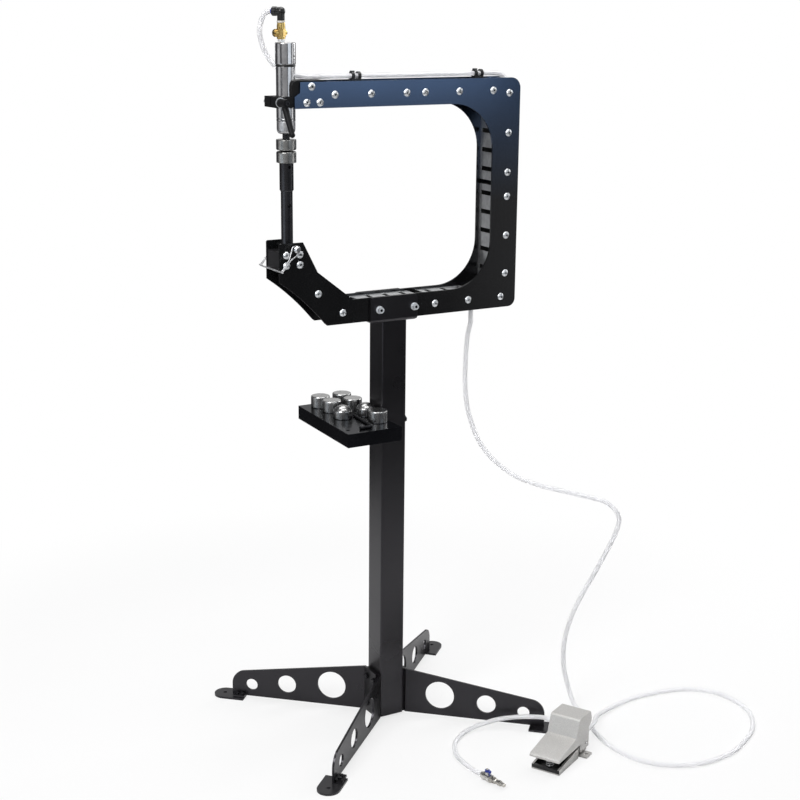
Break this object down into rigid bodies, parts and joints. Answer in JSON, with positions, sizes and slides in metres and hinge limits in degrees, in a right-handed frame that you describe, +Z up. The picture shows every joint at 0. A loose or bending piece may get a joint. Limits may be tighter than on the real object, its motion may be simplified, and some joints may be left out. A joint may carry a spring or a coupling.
{
  "type": "planishing hammer",
  "caption": "Floor standing pneumatic planishing hammer: C frame on a post, air hammer over an adjustable anvil, die tray, foot pedal valve and air hose.",
  "frame": {"origin": "on the floor under the post axis, at the centre of the four floor anchor holes", "axes": "+Z up, -X towards the open end of the throat, -Y the operator's side shown in the picture"},
  "size_m": [1.0616, 0.862, 1.5903],
  "materials": {
    "black_paint": "satin",
    "grey_paint": "satin",
    "zinc": "satin",
    "hammer_metal": "polished",
    "nickel": "polished",
    "brass": "satin",
    "black_oxide": "satin",
    "die_steel": "machined",
    "black_plastic": "satin",
    "black_lever": "satin",
    "seal_rubber": "matte",
    "clear_hose": "translucent",
    "pedal_cast": "satin",
    "blue_plastic": "gloss"
  },
  "bodies": {
    "stand": {"post": "black_paint", "leg_front_left": "grey_paint", "leg_front_right": "grey_paint", "leg_back_left": "grey_paint", "leg_back_right": "grey_paint", "foot_pads": "black_paint", "foot_bolts": "black_oxide", "through_bolts": "black_oxide", "m8_nuts": "black_oxide", "saddle": "black_paint", "saddle_bolts": "zinc", "frame_plate_front": "black_paint", "frame_plate_back": "black_paint", "spine_top": "zinc", "spine_right": "zinc", "spine_bottom": "zinc", "frame_screws": "zinc", "hose_clips": "black_plastic", "hammer_holder": "black_paint", "clamp_stud": "zinc", "anvil_post": "black_oxide", "anvil_block": "black_paint", "lock_pin": "zinc", "tray": "black_paint", "pedal_base": "pedal_cast", "valve_body": "black_plastic", "treadle_pin": "zinc", "treadle_spring": "zinc", "pedal_fittings": "black_plastic", "frame_hose": "clear_hose", "foot_hose": "clear_hose", "supply_hose": "clear_hose", "ball_valve_body": "nickel", "air_plug": "nickel"},
    "clamp_lever": {"clamp_lever": "black_lever"},
    "hammer": {"hammer_barrel": "hammer_metal", "hammer_head": "hammer_metal", "head_seal": "seal_rubber", "hammer_nose": "hammer_metal", "inlet_nipple": "nickel", "regulator_body": "brass", "elbow": "black_plastic", "hammer_hose": "clear_hose"},
    "regulator_knob": {"regulator_knob": "brass"},
    "ram": {"ram_shank": "black_oxide", "upper_die": "die_steel"},
    "anvil_carriage": {"lower_die": "die_steel"},
    "anvil_sleeve": {"anvil_sleeve": "black_oxide"},
    "lock_pin_bail": {"lock_pin_bail": "zinc"},
    "treadle": {"treadle": "pedal_cast"},
    "valve_plunger": {"valve_plunger": "zinc"},
    "ball_valve_handle": {"ball_valve_handle": "blue_plastic"},
    "hex_key": {"hex_key": "black_oxide"},
    "tray_die_1": {"tray_die_1": "die_steel"},
    "tray_die_2": {"tray_die_2": "die_steel"},
    "tray_die_3": {"tray_die_3": "die_steel"},
    "tray_die_4": {"tray_die_4": "die_steel"},
    "tray_die_5": {"tray_die_5": "die_steel"},
    "tray_die_6": {"tray_die_6": "die_steel"},
    "tray_die_7": {"tray_die_7": "die_steel"}
  },
  "joints": [
    {"name": "hammer_slide", "type": "slide", "parent": "stand", "child": "hammer", "axis": [0, 0, 1], "range_m": [0, 0.02], "deforming": ["hammer_hose"]},
    {"name": "ram_stroke", "type": "slide", "parent": "hammer", "child": "ram", "axis": [0, 0, 1], "range_m": [0, 0.01]},
    {"name": "regulator_turn", "type": "hinge", "parent": "hammer", "child": "regulator_knob", "pos_m": [-0.251, 0, 1.539], "axis": [-1, 0, 0], "range_deg": [0, 720]},
    {"name": "clamp_turn", "type": "hinge", "parent": "stand", "child": "clamp_lever", "pos_m": [-0.2684, 0, 1.4035], "axis": [0, 1, 0], "range_deg": [-60, 60]},
    {"name": "anvil_height", "type": "slide", "parent": "stand", "child": "anvil_carriage", "axis": [0, 0, 1], "range_m": [-0.012, 0.001]},
    {"name": "sleeve_turn", "type": "hinge", "parent": "anvil_carriage", "child": "anvil_sleeve", "pos_m": [-0.242, 0, 1.25], "axis": [0, 0, 1], "range_deg": [-1440, 120]},
    {"name": "bail_swing", "type": "hinge", "parent": "stand", "child": "lock_pin_bail", "pos_m": [-0.242, -0.044, 1.108], "axis": [-0.757, 0, 0.6534], "range_deg": [0, 100]},
    {"name": "treadle_press", "type": "hinge", "parent": "stand", "child": "treadle", "pos_m": [0.26902, -0.36191, 0.024], "axis": [0.4695, -0.8829, 0], "range_deg": [0, 7.4], "stiffness_Nm_per_rad": 8, "springref_deg": -5.73, "deforming": ["treadle_spring"]},
    {"name": "plunger_press", "type": "slide", "parent": "stand", "child": "valve_plunger", "axis": [0, 0, -1], "range_m": [0, 0.0027]},
    {"name": "shutoff_turn", "type": "hinge", "parent": "stand", "child": "ball_valve_handle", "pos_m": [0.02437, -0.39462, 0.022], "axis": [0, 0, 1], "range_deg": [0, 90]},
    {"name": "key_lift", "type": "slide", "parent": "stand", "child": "hex_key", "axis": [0, 0, 1], "range_m": [0, 0.05]},
    {"name": "die_1_lift", "type": "slide", "parent": "stand", "child": "tray_die_1", "axis": [0, 0, 1], "range_m": [0, 0.05]},
    {"name": "die_2_lift", "type": "slide", "parent": "stand", "child": "tray_die_2", "axis": [0, 0, 1], "range_m": [0, 0.05]},
    {"name": "die_3_lift", "type": "slide", "parent": "stand", "child": "tray_die_3", "axis": [0, 0, 1], "range_m": [0, 0.05]},
    {"name": "die_4_lift", "type": "slide", "parent": "stand", "child": "tray_die_4", "axis": [0, 0, 1], "range_m": [0, 0.05]},
    {"name": "die_5_lift", "type": "slide", "parent": "stand", "child": "tray_die_5", "axis": [0, 0, 1], "range_m": [0, 0.05]},
    {"name": "die_6_lift", "type": "slide", "parent": "stand", "child": "tray_die_6", "axis": [0, 0, 1], "range_m": [0, 0.05]},
    {"name": "die_7_lift", "type": "slide", "parent": "stand", "child": "tray_die_7", "axis": [0, 0, 1], "range_m": [0, 0.05]}
  ],
  "couplings": [
    {"joint": "sleeve_turn", "follows": "anvil_height", "rad_per_m": 2094.4},
    {"joint": "plunger_press", "follows": "treadle_press", "m_per_rad": 0.02}
  ]
}
